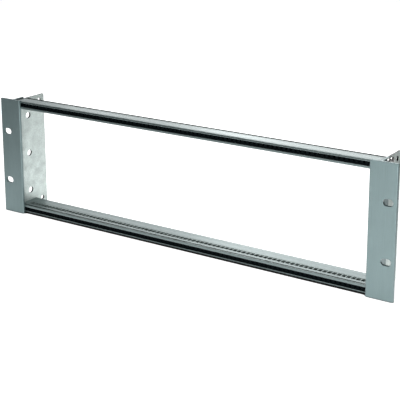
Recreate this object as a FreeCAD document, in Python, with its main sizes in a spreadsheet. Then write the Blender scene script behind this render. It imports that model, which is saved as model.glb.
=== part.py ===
import FreeCAD, Part
import math
import os
import Sketcher
from FreeCAD import Placement, Rotation, Vector

# Shallow 19-inch subrack frame, three units high and 84 card widths wide.
# Frame: the origin is the centre of the rack-slot pattern, on the front plane of the rack flanges.
# X runs to the right seen from the front, Y from the front to the back, Z up. Millimetres.

DIMENSIONS = [
    ("unit_height", 44.45, "one rack unit, also the pitch of the side holes"),
    ("unit_count", 3, "rack units that the frame fills"),
    ("unit_gap", 0.8, "flange height less than its rack units"),
    ("card_pitch", 5.08, "one card width, the pitch of guide slots and panel threads"),
    ("card_count", 84, "card widths between the flanges"),
    ("flange_thickness", 3.0, "front leg of a flange"),
    ("flange_overlap", 7.44, "flange inwards past the side plate's inner face"),
    ("flange_reach", 16.0, "flange outwards past its side leg"),
    ("flange_leg_thickness", 2.5, "side leg of a flange"),
    ("flange_leg_margin", 0.8, "side leg behind the front screw's head"),
    ("flange_edge_radius", 0.8, "rounded front edges of a flange"),
    ("flange_root_radius", 1.0, "outer corner between the two legs"),
    ("rack_slot_length", 10.3, "rack slot, end to end"),
    ("rack_slot_width", 6.8, "rack slot, across"),
    ("rack_slot_offset", 7.25, "middle of a rack slot, outwards of the side leg"),
    ("rack_slot_inset", 37.7, "middle of a rack slot, inside the flange's end"),
    ("plate_thickness", 2.0, "side plate"),
    ("plate_depth", 46.0, "side plate, from the flange to its back edge"),
    ("plate_corner_radius", 1.0, "back corners of a side plate"),
    ("side_hole_diameter", 7.0, "row of three holes in a side plate"),
    ("side_hole_gap", 0.5, "side holes behind the flange's side leg"),
    ("back_hole_diameter", 5.0, "corner holes at the back of a side plate"),
    ("back_hole_setback", 7.8, "corner holes in front of the back edge"),
    ("back_hole_inset", 6.4, "corner holes inside the top and bottom edges"),
    ("panel_line_inset", 5.025, "row of panel threads inside the flange's end"),
    ("mouth_width", 4.0, "open mouth of the front groove"),
    ("lip_thickness", 1.8, "lips of the front groove"),
    ("strip_channel_width", 5.8, "front groove behind its lips, across"),
    ("strip_channel_depth", 3.8, "front groove behind its lips, front to back"),
    ("groove_wall", 0.85, "wall between the front groove and the outer face"),
    ("guide_wall", 1.4, "wall between the front groove and the guide slots"),
    ("guide_slot_length", 6.0, "guide slot, front to back"),
    ("guide_slot_width", 4.2, "guide slot, along the rail"),
    ("guide_chamber_margin", 0.3, "chamber behind the guide slots, past their ends"),
    ("guide_chamber_depth", 1.2, "chamber behind the guide slots"),
    ("box_wall", 1.9, "back wall of the rail's box"),
    ("tongue_thickness", 1.8, "card face and back tongue of the rail"),
    ("tongue_reach", 9.2, "back tongue past the rail's lip"),
    ("cover_groove_width", 2.2, "groove along the back of the outer face"),
    ("cover_groove_depth", 3.4, "groove along the back of the outer face"),
    ("cover_lip_thickness", 0.9, "lip behind that groove"),
    ("cover_floor_thickness", 1.2, "floor of that groove"),
    ("line_groove_setback", 1.4, "line groove in the card face, behind the rail's front"),
    ("line_groove_width", 1.6, "line groove, across"),
    ("line_groove_depth", 0.8, "line groove"),
    ("rail_edge", 0.4, "broken inner front edge of the rail"),
    ("rail_outer_edge", 1.2, "sloped outer front edge of the rail"),
    ("screw_diameter", 4.0, "rail and flange screws"),
    ("thread_clearance", 0.05, "between a screw and its thread, on the radius"),
    ("screw_hole_clearance", 0.2, "between a screw and a plain hole, on the radius"),
    ("screw_wall", 0.75, "rail above and below the front screw's thread"),
    ("back_screw_margin", 4.5, "back rail screw in front of the tongue's end"),
    ("screw_channel_wall", 0.8, "wall of the back screw channel"),
    ("screw_channel_slit", 1.4, "open slit of the back screw channel"),
    ("rail_screw_reach", 9.0, "rail screw inside the rail"),
    ("pan_head_diameter", 7.6, "rail screw head"),
    ("pan_head_height", 2.6, "rail screw head"),
    ("flange_screw_setback", 4.3, "flange screws behind the flange"),
    ("flange_screw_spacing", 50.8, "between the two flange screws of a side"),
    ("sunk_head_diameter", 7.4, "countersink of a flange screw"),
    ("strip_thickness", 3.0, "threaded strip"),
    ("strip_clearance", 0.1, "between the strip and its channel, each side"),
    ("strip_end_margin", 2.6, "strip past the thread at its end"),
    ("panel_thread_diameter", 2.5, "threads in the strip"),
    ("set_screw_recess", 0.4, "set screw below the face of the strip"),
    ("set_screw_socket", 1.3, "hexagon socket of the set screw, across flats"),
    ("set_screw_socket_depth", 1.5, "hexagon socket of the set screw"),
]

# Places that several pieces share, worked out from the dimensions.
DERIVED = [
    ("thread_radius", "screw_diameter / 2 + thread_clearance"),
    ("clear_radius", "screw_diameter / 2 + screw_hole_clearance"),
    ("panel_height", "unit_count * unit_height - unit_gap"),
    ("panel_end_z", "panel_height / 2"),
    ("opening_half", "card_count * card_pitch / 2"),
    ("plate_inner_x", "opening_half + flange_overlap"),
    ("plate_outer_x", "plate_inner_x + plate_thickness"),
    ("leg_outer_x", "plate_outer_x + flange_leg_thickness"),
    ("panel_tip_x", "leg_outer_x + flange_reach"),
    ("rack_slot_x", "leg_outer_x + rack_slot_offset"),
    ("rack_slot_z", "panel_end_z - rack_slot_inset"),
    ("first_slot_x", "(card_count - 1) * card_pitch / 2"),
    ("set_screw_x", "first_slot_x + card_pitch / 2"),
    ("body_y", "flange_thickness"),
    ("channel_front_y", "body_y + lip_thickness"),
    ("channel_back_y", "channel_front_y + strip_channel_depth"),
    ("slot_front_y", "channel_back_y + guide_wall"),
    ("slot_back_y", "slot_front_y + guide_slot_length"),
    ("box_back_y", "slot_back_y + guide_chamber_margin + box_wall"),
    ("lip_front_y", "box_back_y + cover_groove_width"),
    ("lip_back_y", "lip_front_y + cover_lip_thickness"),
    ("rail_back_y", "lip_back_y + tongue_reach"),
    ("plate_back_y", "body_y + plate_depth"),
    ("front_screw_y", "(channel_back_y + box_back_y) / 2"),
    ("back_screw_y", "rail_back_y - back_screw_margin"),
    ("flange_screw_y", "body_y + flange_screw_setback"),
    ("leg_back_y", "front_screw_y + pan_head_diameter / 2 + flange_leg_margin"),
    ("side_hole_y", "leg_back_y + side_hole_gap + side_hole_diameter / 2"),
    ("back_hole_y", "plate_back_y - back_hole_setback"),
    ("panel_line_z", "panel_end_z - panel_line_inset"),
    ("rail_outer_z", "panel_line_z + strip_channel_width / 2 + groove_wall"),
    ("front_screw_z", "rail_outer_z - screw_wall - thread_radius"),
    ("chamber_top_z", "front_screw_z - thread_radius - screw_wall"),
    ("tongue_top_z", "chamber_top_z - guide_chamber_depth"),
    ("rail_inner_z", "tongue_top_z - tongue_thickness"),
    ("back_screw_z", "tongue_top_z + thread_radius"),
    ("back_hole_z", "rail_outer_z - back_hole_inset"),
    ("flange_screw_z", "flange_screw_spacing / 2"),
]

# Sides of the small holes and shanks that repeat, or that a head or a lip hides.
THREAD_SIDES = 6
SHANK_SIDES = 8

doc = FreeCAD.newDocument("subrack_frame")
sheet = doc.addObject("Spreadsheet::Sheet", "Sizes")


def fill_sheet():
    """One row per size: its name, its value and what it measures."""
    for row, (name, value, meaning) in enumerate(DIMENSIONS, start=1):
        sheet.set(f"A{row}", name)
        sheet.set(f"B{row}", str(value))
        sheet.set(f"C{row}", meaning)
        sheet.setAlias(f"B{row}", name)
    for row, (name, formula) in enumerate(DERIVED, start=len(DIMENSIONS) + 1):
        sheet.set(f"A{row}", name)
        sheet.set(f"B{row}", "=" + formula)
        sheet.setAlias(f"B{row}", name)
    doc.recompute()


NAMES = sorted((row[0] for row in DIMENSIONS + DERIVED), key=len, reverse=True)


def sized(formula):
    """Turn a formula in the sheet's names into an expression that reads the sheet."""
    words = []
    for word in str(formula).replace("(", " ( ").replace(")", " ) ").split():
        sign = "-" if word.startswith("-") and len(word) > 1 else ""
        name = word[len(sign):]
        words.append(sign + ("Sizes." + name if name in NAMES else name))
    return " ".join(words)


def value_of(formula):
    """The number that a formula gives now."""
    return float(sheet.evalExpression(sized(formula)))


def new_body(label):
    body = doc.addObject("PartDesign::Body", label)
    body.Label = label
    return body


def new_sketch(body, plane, name, offset="0"):
    """A sketch on one of the body's own origin planes, moved along its normal by the offset."""
    sketch = body.newObject("Sketcher::SketchObject", name)
    support = [item for item in body.Origin.OriginFeatures if item.Role == plane][0]
    sketch.AttachmentSupport = (support, [""])
    sketch.MapMode = "FlatFace"
    sketch.setExpression("AttachmentOffset.Base.z", sized(offset))
    return sketch


def place_point(sketch, element, point, across, up):
    """Tie one point of a sketch element to the sketch's origin by two sizes."""
    for kind, formula in (("DistanceX", across), ("DistanceY", up)):
        number = sketch.addConstraint(
            Sketcher.Constraint(kind, -1, 1, element, point, value_of(formula)))
        sketch.setExpression(f"Constraints[{number}]", sized(formula))


def draw_outline(sketch, corners):
    """A closed outline of straight lines through corners given as pairs of formulas."""
    spots = [Vector(value_of(across), value_of(up), 0) for across, up in corners]
    first = sketch.GeometryCount
    count = len(corners)
    for index in range(count):
        sketch.addGeometry(Part.LineSegment(spots[index], spots[(index + 1) % count]))
    for index in range(count):
        following = first + (index + 1) % count
        sketch.addConstraint(Sketcher.Constraint("Coincident", first + index, 2, following, 1))
        place_point(sketch, first + index, 1, *corners[index])


def draw_circle(sketch, across, up, radius):
    center = Vector(value_of(across), value_of(up), 0)
    circle = sketch.addGeometry(Part.Circle(center, Vector(0, 0, 1), value_of(radius)))
    place_point(sketch, circle, 3, across, up)
    number = sketch.addConstraint(Sketcher.Constraint("Radius", circle, value_of(radius)))
    sketch.setExpression(f"Constraints[{number}]", sized(radius))


def draw_polygon(sketch, across, up, flat_radius, sides):
    """A regular polygon around a point, with one side square to the first axis."""
    half_turn = math.pi / sides
    corners = []
    for number in range(sides):
        angle = (2 * number + 1) * half_turn
        reach_across = math.cos(angle) / math.cos(half_turn)
        reach_up = math.sin(angle) / math.cos(half_turn)
        corners.append((
            f"( {across} ) + {flat_radius} * ( {reach_across:.6f} )",
            f"( {up} ) + {flat_radius} * ( {reach_up:.6f} )",
        ))
    draw_outline(sketch, corners)


def draw_slot(sketch, across, up, length, width):
    """A slot with round ends that lies along the sketch's first axis."""
    half_reach = f"( {length} - {width} ) / 2"
    radius = value_of(width) / 2
    middle_up = value_of(up)
    reach = value_of(half_reach)
    middle = value_of(across)
    axis = Vector(0, 0, 1)
    ends = []
    for side, start, stop in ((-1, 90, 270), (1, -90, 90)):
        round_end = Part.Circle(Vector(middle + side * reach, middle_up, 0), axis, radius)
        start_angle = FreeCAD.Units.Quantity(f"{start} deg").getValueAs("rad").Value
        stop_angle = FreeCAD.Units.Quantity(f"{stop} deg").getValueAs("rad").Value
        ends.append(sketch.addGeometry(Part.ArcOfCircle(round_end, start_angle, stop_angle)))
    left, right = ends
    sides = []
    for height in (middle_up + radius, middle_up - radius):
        start = Vector(middle - reach, height, 0)
        stop = Vector(middle + reach, height, 0)
        sides.append(sketch.addGeometry(Part.LineSegment(start, stop)))
    upper, lower = sides
    joints = ((upper, 1, left, 1), (lower, 1, left, 2), (lower, 2, right, 1), (upper, 2, right, 2))
    for joint in joints:
        sketch.addConstraint(Sketcher.Constraint("Tangent", *joint))
    place_point(sketch, left, 3, f"( {across} ) - {half_reach}", up)
    place_point(sketch, right, 3, f"( {across} ) + {half_reach}", up)
    number = sketch.addConstraint(Sketcher.Constraint("Radius", left, radius))
    sketch.setExpression(f"Constraints[{number}]", sized(f"{width} / 2"))
    sketch.addConstraint(Sketcher.Constraint("Equal", left, right))


def add_pad(body, sketch, name, length, side="One side", reverse=False):
    pad = body.newObject("PartDesign::Pad", name)
    pad.Profile = sketch
    pad.SideType = side
    pad.Reversed = reverse
    pad.setExpression("Length", sized(length))
    doc.recompute()
    return pad


def add_pocket(body, sketch, name, length=None, reverse=False, side="One side"):
    """A cut as deep as the length says, or right through; it must take material away."""
    before = body.Shape.Volume
    pocket = body.newObject("PartDesign::Pocket", name)
    pocket.Profile = sketch
    pocket.SideType = side
    pocket.Reversed = reverse
    if length is None:
        pocket.Type = "ThroughAll"
    else:
        pocket.setExpression("Length", sized(length))
    doc.recompute()
    if not body.Shape.Volume < before:
        raise RuntimeError(f"{name} cuts nothing")
    return pocket


def add_row(body, feature, name, axis, pitch, count):
    """Repeat a cut along one of the body's own axes."""
    before = body.Shape.Volume
    row = body.newObject("PartDesign::LinearPattern", name)
    row.Originals = [feature]
    direction = [item for item in body.Origin.OriginFeatures if item.Role == axis][0]
    row.Direction = (direction, [""])
    row.Mode = "Spacing"
    row.setExpression("Offset", sized(pitch))
    row.setExpression("Occurrences", sized(count))
    body.Tip = row
    doc.recompute()
    if not body.Shape.Volume < before:
        raise RuntimeError(f"{name} repeats nothing")
    return row


def add_fillet(body, name, feature, radius, keep):
    """Round the edges of a feature that the test picks by their middle point."""
    edges = []
    for number, edge in enumerate(feature.Shape.Edges, start=1):
        middle = edge.valueAt((edge.FirstParameter + edge.LastParameter) / 2)
        if keep(middle):
            edges.append(f"Edge{number}")
    fillet = body.newObject("PartDesign::Fillet", name)
    fillet.Base = (feature, edges)
    fillet.setExpression("Radius", sized(radius))
    doc.recompute()
    return fillet


def near(value, formula):
    return abs(value - value_of(formula)) < 1e-6


def rail_profile():
    """Section of the upper rail, as pairs of Y and Z, from its outer front corner round."""
    mouth_top = "panel_line_z + mouth_width / 2"
    mouth_bottom = "panel_line_z - mouth_width / 2"
    channel_top = "panel_line_z + strip_channel_width / 2"
    channel_bottom = "panel_line_z - strip_channel_width / 2"
    line_front = "body_y + line_groove_setback"
    line_back = "body_y + line_groove_setback + line_groove_width"
    line_floor = "rail_inner_z + line_groove_depth"
    floor_top = "rail_outer_z - cover_groove_depth"
    floor_bottom = "rail_outer_z - cover_groove_depth - cover_floor_thickness"
    return [
        ("body_y + rail_outer_edge", "rail_outer_z"),
        ("body_y", "rail_outer_z - rail_outer_edge"),
        ("body_y", mouth_top),
        ("channel_front_y", mouth_top),
        ("channel_front_y", channel_top),
        ("channel_back_y", channel_top),
        ("channel_back_y", channel_bottom),
        ("channel_front_y", channel_bottom),
        ("channel_front_y", mouth_bottom),
        ("body_y", mouth_bottom),
        ("body_y", "rail_inner_z + rail_edge"),
        ("body_y + rail_edge", "rail_inner_z"),
        (line_front, "rail_inner_z"),
        (line_front, line_floor),
        (line_back, line_floor),
        (line_back, "rail_inner_z"),
        ("rail_back_y", "rail_inner_z"),
        ("rail_back_y", "tongue_top_z"),
        ("box_back_y", "tongue_top_z"),
        ("box_back_y", floor_bottom),
        ("lip_back_y", floor_bottom),
        ("lip_back_y", "rail_outer_z"),
        ("lip_front_y", "rail_outer_z"),
        ("lip_front_y", floor_top),
        ("box_back_y", floor_top),
        ("box_back_y", "rail_outer_z"),
    ]


def build_rail(label):
    """The upper rail: one extrusion, with a row of guide slots punched in its card face."""
    body = new_body(label)
    section = new_sketch(body, "YZ_Plane", label + "_section")
    draw_outline(section, rail_profile())
    chamber_front = "slot_front_y - guide_chamber_margin"
    chamber_back = "slot_back_y + guide_chamber_margin"
    draw_outline(section, [
        (chamber_front, "tongue_top_z"),
        (chamber_back, "tongue_top_z"),
        (chamber_back, "chamber_top_z"),
        (chamber_front, "chamber_top_z"),
    ])
    draw_polygon(section, "front_screw_y", "front_screw_z", "thread_radius", SHANK_SIDES)
    rail_length = "plate_inner_x * 2"
    add_pad(body, section, label + "_extrusion", rail_length, side="Symmetric")

    channel = new_sketch(body, "YZ_Plane", label + "_channel_section")
    draw_circle(channel, "back_screw_y", "back_screw_z", "thread_radius + screw_channel_wall")
    add_pad(body, channel, label + "_channel", rail_length, side="Symmetric")
    bore = new_sketch(body, "YZ_Plane", label + "_channel_bore")
    draw_polygon(bore, "back_screw_y", "back_screw_z", "thread_radius", SHANK_SIDES)
    add_pocket(body, bore, label + "_bore", rail_length, side="Symmetric")
    slit = new_sketch(body, "YZ_Plane", label + "_channel_slit")
    slit_front = "back_screw_y - screw_channel_slit / 2"
    slit_back = "back_screw_y + screw_channel_slit / 2"
    slit_top = "back_screw_z + thread_radius + screw_channel_wall * 2"
    draw_outline(slit, [
        (slit_front, "back_screw_z"),
        (slit_back, "back_screw_z"),
        (slit_back, slit_top),
        (slit_front, slit_top),
    ])
    add_pocket(body, slit, label + "_slit", rail_length, side="Symmetric")

    guide = new_sketch(body, "XY_Plane", label + "_guide_slot", offset="rail_inner_z")
    left = "0 - first_slot_x - guide_slot_width / 2"
    right = "0 - first_slot_x + guide_slot_width / 2"
    draw_outline(guide, [
        (left, "slot_front_y"),
        (right, "slot_front_y"),
        (right, "slot_back_y"),
        (left, "slot_back_y"),
    ])
    cut = add_pocket(body, guide, label + "_first_slot", "tongue_thickness", reverse=True)
    add_row(body, cut, label + "_guide_slots", "X_Axis", "card_pitch", "card_count")
    return body


def build_strip(label):
    """The upper threaded strip, against the back of the groove's lips."""
    body = new_body(label)
    bar = new_sketch(body, "XZ_Plane", label + "_outline", offset="0 - channel_front_y")
    half_length = "set_screw_x + strip_end_margin"
    low = "panel_line_z - strip_channel_width / 2 + strip_clearance"
    high = "panel_line_z + strip_channel_width / 2 - strip_clearance"
    draw_outline(bar, [
        (f"0 - ( {half_length} )", low),
        (half_length, low),
        (half_length, high),
        (f"0 - ( {half_length} )", high),
    ])
    add_pad(body, bar, label + "_bar", "strip_thickness", reverse=True)
    thread_radius = "panel_thread_diameter / 2"
    ends = new_sketch(body, "XZ_Plane", label + "_end_threads", offset="0 - channel_front_y")
    for side in ("-1", "1"):
        draw_circle(ends, f"{side} * first_slot_x", "panel_line_z", thread_radius)
        draw_polygon(ends, f"{side} * set_screw_x", "panel_line_z", thread_radius, THREAD_SIDES)
    add_pocket(body, ends, label + "_end_threads_cut")
    thread = new_sketch(body, "XZ_Plane", label + "_thread", offset="0 - channel_front_y")
    second_thread_x = "card_pitch - first_slot_x"
    draw_polygon(thread, second_thread_x, "panel_line_z", thread_radius, THREAD_SIDES)
    cut = add_pocket(body, thread, label + "_second_thread")
    add_row(body, cut, label + "_threads", "X_Axis", "card_pitch", "card_count - 2")
    return body


def build_plate(label):
    """The left side plate, with its holes."""
    body = new_body(label)
    inner_face = "0 - plate_inner_x"
    outline = new_sketch(body, "YZ_Plane", label + "_outline", offset=inner_face)
    draw_outline(outline, [
        ("body_y", "0 - rail_outer_z"),
        ("plate_back_y", "0 - rail_outer_z"),
        ("plate_back_y", "rail_outer_z"),
        ("body_y", "rail_outer_z"),
    ])
    sheet_metal = add_pad(body, outline, label + "_sheet", "plate_thickness", reverse=True)
    add_fillet(body, label + "_corners", sheet_metal, "plate_corner_radius",
               lambda spot: near(spot.y, "plate_back_y") and near(abs(spot.z), "rail_outer_z"))
    holes = new_sketch(body, "YZ_Plane", label + "_hole_places", offset=inner_face)
    for step in ("-1", "0", "1"):
        draw_circle(holes, "side_hole_y", f"{step} * unit_height", "side_hole_diameter / 2")
    for side in ("-1", "1"):
        draw_circle(holes, "back_hole_y", f"{side} * back_hole_z", "back_hole_diameter / 2")
        draw_polygon(holes, "front_screw_y", f"{side} * front_screw_z", "clear_radius", SHANK_SIDES)
        draw_polygon(holes, "back_screw_y", f"{side} * back_screw_z", "clear_radius", SHANK_SIDES)
    add_pocket(body, holes, label + "_holes")
    sunk = new_sketch(body, "YZ_Plane", label + "_sunk_places", offset=inner_face)
    for side in ("-1", "1"):
        draw_circle(sunk, "flange_screw_y", f"{side} * flange_screw_z", "clear_radius")
    doc.recompute()
    before = body.Shape.Volume
    hole = body.newObject("PartDesign::Hole", label + "_countersinks")
    hole.Profile = sunk
    hole.DepthType = "ThroughAll"
    hole.ThreadType = "None"
    hole.setExpression("Diameter", sized("clear_radius * 2"))
    hole.HoleCutType = "Countersink"
    hole.HoleCutCustomValues = True
    hole.HoleCutCountersinkAngle = 90
    hole.setExpression("HoleCutDiameter", sized("sunk_head_diameter"))
    doc.recompute()
    if not body.Shape.Volume < before:
        raise RuntimeError(f"{label}_countersinks cuts nothing")
    return body


def build_flange(label):
    """The left rack flange, an extruded angle with two rack slots."""
    body = new_body(label)
    section = new_sketch(body, "XY_Plane", label + "_section")
    tip = "0 - panel_tip_x"
    inner_tip = "0 - opening_half"
    leg_inner = "0 - plate_outer_x"
    leg_outer = "0 - leg_outer_x"
    draw_outline(section, [
        (tip, "0"),
        (inner_tip, "0"),
        (inner_tip, "body_y"),
        (leg_inner, "body_y"),
        (leg_inner, "leg_back_y"),
        (leg_outer, "leg_back_y"),
        (leg_outer, "body_y"),
        (tip, "body_y"),
    ])
    angle = add_pad(body, section, label + "_angle", "panel_height", side="Symmetric")
    rounded = add_fillet(body, label + "_edges", angle, "flange_edge_radius",
                         lambda spot: near(spot.z, "0") and near(spot.y, "0"))
    add_fillet(body, label + "_root", rounded, "flange_root_radius",
               lambda spot: near(spot.z, "0") and near(spot.x, leg_outer) and near(spot.y, "body_y"))
    slots = new_sketch(body, "XZ_Plane", label + "_slots")
    for side in ("-1", "1"):
        draw_slot(slots, "0 - rack_slot_x", f"{side} * rack_slot_z", "rack_slot_length", "rack_slot_width")
    add_pocket(body, slots, label + "_rack_slots")
    holes = new_sketch(body, "YZ_Plane", label + "_leg_holes", offset=leg_outer)
    for side in ("-1", "1"):
        draw_polygon(holes, "flange_screw_y", f"{side} * flange_screw_z", "thread_radius", SHANK_SIDES)
        draw_polygon(holes, "front_screw_y", f"{side} * front_screw_z", "clear_radius", SHANK_SIDES)
    add_pocket(body, holes, label + "_holes", "flange_leg_thickness", reverse=True)
    return body


def build_rail_screw(label, grip):
    """A pan-head screw along X. Its head bears at the origin and the grip is what it clamps."""
    body = new_body(label)
    head = new_sketch(body, "YZ_Plane", label + "_head_outline")
    draw_circle(head, "0", "0", "pan_head_diameter / 2")
    add_pad(body, head, label + "_head", "pan_head_height", reverse=True)
    shank = new_sketch(body, "YZ_Plane", label + "_shank_outline")
    draw_polygon(shank, "0", "0", "screw_diameter / 2", SHANK_SIDES)
    add_pad(body, shank, label + "_shank", f"{grip} + rail_screw_reach")
    return body


def build_flange_screw(label):
    """A countersunk screw along X. Its flat head is flush at the origin; it points to -X."""
    body = new_body(label)
    profile = new_sketch(body, "XY_Plane", label + "_profile")
    head_radius = "( sunk_head_diameter / 2 - thread_clearance )"
    shank_radius = "screw_diameter / 2"
    tip = "0 - plate_thickness - flange_leg_thickness"
    draw_outline(profile, [
        ("0", "0"),
        ("0", head_radius),
        (f"{shank_radius} - {head_radius}", shank_radius),
        (tip, shank_radius),
        (tip, "0"),
    ])
    turned = body.newObject("PartDesign::Revolution", label + "_turned")
    turned.Profile = profile
    turned.ReferenceAxis = (profile, ["H_Axis"])
    turned.Angle = 360
    doc.recompute()
    return body


def build_set_screw(label):
    """A headless screw along Y, its socket at the front and its tip on the groove's back wall."""
    body = new_body(label)
    start = "channel_front_y + set_screw_recess"
    outline = new_sketch(body, "XZ_Plane", label + "_outline", offset=f"0 - ( {start} )")
    draw_polygon(outline, "0", "0", "( panel_thread_diameter / 2 - thread_clearance )", THREAD_SIDES)
    add_pad(body, outline, label + "_shank", "strip_channel_depth - set_screw_recess", reverse=True)
    socket = new_sketch(body, "XZ_Plane", label + "_socket_outline", offset=f"0 - ( {start} )")
    draw_polygon(socket, "0", "0", "set_screw_socket / 2", THREAD_SIDES)
    add_pocket(body, socket, label + "_socket", "set_screw_socket_depth")
    return body


TURNED = Rotation(Vector(0, 1, 0), 180)


def place_group(label, screw, spots, turn=False):
    """Like screws as one group of separate solids; turned, it serves the opposite side."""
    copies = []
    for number, (across, back, up) in enumerate(spots, start=1):
        copy = doc.addObject("App::Link", f"{label}_{number}")
        copy.LinkedObject = screw
        for letter, formula in (("x", across), ("y", back), ("z", up)):
            copy.setExpression(f"Placement.Base.{letter}", sized(formula))
        copies.append(copy)
    group = doc.addObject("Part::Compound", label)
    group.Label = label
    group.Links = copies
    group.Placement = Placement(Vector(0, 0, 0), TURNED if turn else Rotation())
    doc.recompute()
    return group


def build_pair(build, first, second):
    """A piece and its like on the opposite side, the same piece turned over about Y."""
    near_side = build(first)
    far_side = build(second)
    far_side.Placement = Placement(Vector(0, 0, 0), TURNED)
    return [near_side, far_side]


fill_sheet()
pieces = []
pieces += build_pair(build_plate, "left_side_plate", "right_side_plate")
pieces += build_pair(build_flange, "left_rack_flange", "right_rack_flange")
pieces += build_pair(build_rail, "top_rail", "bottom_rail")
pieces += build_pair(build_strip, "top_threaded_strip", "bottom_threaded_strip")

front_screw = build_rail_screw("front_rail_screw", "flange_leg_thickness + plate_thickness")
back_screw = build_rail_screw("back_rail_screw", "plate_thickness")
flange_screw = build_flange_screw("flange_screw")
set_screw = build_set_screw("set_screw")

FRONT_SPOTS = [("0 - leg_outer_x", "front_screw_y", f"{side} * front_screw_z") for side in ("-1", "1")]
BACK_SPOTS = [("0 - plate_outer_x", "back_screw_y", f"{side} * back_screw_z") for side in ("-1", "1")]
FLANGE_SPOTS = [("0 - plate_inner_x", "flange_screw_y", f"{side} * flange_screw_z") for side in ("-1", "1")]
SET_SPOTS = [(f"{side} * set_screw_x", "0", "panel_line_z") for side in ("-1", "1")]
for side_name, turn in (("left", False), ("right", True)):
    pieces.append(place_group(side_name + "_front_rail_screws", front_screw, FRONT_SPOTS, turn))
    pieces.append(place_group(side_name + "_back_rail_screws", back_screw, BACK_SPOTS, turn))
    pieces.append(place_group(side_name + "_flange_screws", flange_screw, FLANGE_SPOTS, turn))
for side_name, turn in (("top", False), ("bottom", True)):
    pieces.append(place_group(side_name + "_set_screws", set_screw, SET_SPOTS, turn))

doc.recompute()
for item in doc.Objects:
    if "Invalid" in item.State or "Error" in item.State:
        raise RuntimeError(f"{item.Label} did not build")
for piece in pieces:
    if piece.Shape.isNull() or not piece.Shape.isValid():
        raise RuntimeError(f"{piece.Label} has no valid shape")

os.makedirs("parts", exist_ok=True)
for piece in pieces:
    piece.Shape.exportStep(f"parts/{piece.Label}.step")
    print(piece.Label, len(piece.Shape.Solids), round(piece.Shape.Volume, 1))
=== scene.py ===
"""Looks of a subrack frame: finishes for its plates, flanges, rails and strips, detailed screws,
a plain studio and the camera. Lengths are in metres and the object stands in its own frame,
with X along the rails, Y to the back and Z up."""
import math

import bmesh
import bpy
from bpy.props import FloatProperty, FloatVectorProperty, IntProperty, PointerProperty
from bpy.types import Operator, Panel, PropertyGroup
from mathutils import Matrix, Vector


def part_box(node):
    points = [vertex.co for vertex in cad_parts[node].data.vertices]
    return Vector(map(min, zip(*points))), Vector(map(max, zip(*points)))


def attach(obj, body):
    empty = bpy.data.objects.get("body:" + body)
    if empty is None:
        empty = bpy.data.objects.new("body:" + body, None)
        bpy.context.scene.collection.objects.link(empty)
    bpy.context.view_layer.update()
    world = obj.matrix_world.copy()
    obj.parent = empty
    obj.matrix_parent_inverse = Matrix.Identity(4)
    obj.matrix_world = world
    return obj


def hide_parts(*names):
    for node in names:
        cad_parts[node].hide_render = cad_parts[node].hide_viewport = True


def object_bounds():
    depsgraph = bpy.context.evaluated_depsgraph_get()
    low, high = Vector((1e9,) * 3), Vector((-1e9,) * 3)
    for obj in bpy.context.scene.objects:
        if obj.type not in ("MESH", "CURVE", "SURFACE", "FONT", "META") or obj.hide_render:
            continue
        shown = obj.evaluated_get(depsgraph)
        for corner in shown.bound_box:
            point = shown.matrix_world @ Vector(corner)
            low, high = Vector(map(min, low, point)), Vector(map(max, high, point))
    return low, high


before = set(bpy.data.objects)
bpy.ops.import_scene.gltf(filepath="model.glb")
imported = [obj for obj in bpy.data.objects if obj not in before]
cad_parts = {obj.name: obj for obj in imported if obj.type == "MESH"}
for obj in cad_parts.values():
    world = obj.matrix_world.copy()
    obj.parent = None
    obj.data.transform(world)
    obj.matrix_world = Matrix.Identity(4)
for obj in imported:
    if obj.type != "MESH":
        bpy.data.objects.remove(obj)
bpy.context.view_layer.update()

bl_info = {
    "name": "Subrack Frame",
    "version": (1, 0, 0),
    "blender": (4, 5, 0),
    "location": "View3D > Sidebar > Subrack",
    "description": "Finishes, screws and studio for a subrack frame",
    "category": "Object",
}

MM = 0.001
FLOOR_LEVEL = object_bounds()[0].z
RAIL_SCREW_LOW, RAIL_SCREW_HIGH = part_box("left_back_rail_screws")
# Points this close together, or this close to a plane, are taken to lie on it.
TOUCH = 0.001 * MM


def colour_property(name, description, default):
    """A colour that the sidebar shows as one."""
    return FloatVectorProperty(
        name=name, description=description, default=default,
        subtype="COLOR", size=3, min=0.0, max=1.0,
    )


def length_property(name, description, default):
    """A length in metres that the sidebar shows in its own unit."""
    return FloatProperty(
        name=name, description=description, default=default,
        min=0.0, subtype="DISTANCE", unit="LENGTH",
    )


class SubrackFinishes(PropertyGroup):
    flange_colour: colour_property(
        "Flange", "Satin anodised colour of the rack flanges", (0.201, 0.272, 0.277))
    flange_roughness: FloatProperty(
        name="Flange roughness", description="Gloss of the flanges, from 0 to 1",
        default=0.42, min=0.0, max=1.0, subtype="FACTOR")
    plate_colour: colour_property(
        "Plate", "Passivated colour of the side plates", (0.708, 0.80, 0.773))
    plate_mottle: FloatProperty(
        name="Plate mottle", description="Strength of the cloudy spots on the side plates",
        default=0.35, min=0.0, max=1.0, subtype="FACTOR")
    # Painted shade: the near-black colour that stands for the shade in the plates' punched holes
    # and on their cut edges.
    hole_shade_colour: colour_property(
        "Cut edge", "Punched holes and edges of the side plates", (0.03, 0.035, 0.035))
    rail_colour: colour_property(
        "Rail", "Clear anodised colour of the rails", (0.196, 0.247, 0.246))
    rail_line_width: length_property(
        "Rail line width", "Spacing of the fine drawn lines along the rails", 0.25 * MM)
    # Partly painted shade: the strips' black finish is made nearly pure black so that they stand
    # for the shade deep in the rails' front grooves.
    strip_colour_and_shade: colour_property(
        "Strip", "Black finish of the threaded strips", (0.002, 0.004, 0.005))
    screw_colour: colour_property(
        "Screw", "Zinc finish of the screws", (0.62, 0.63, 0.62))


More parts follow.
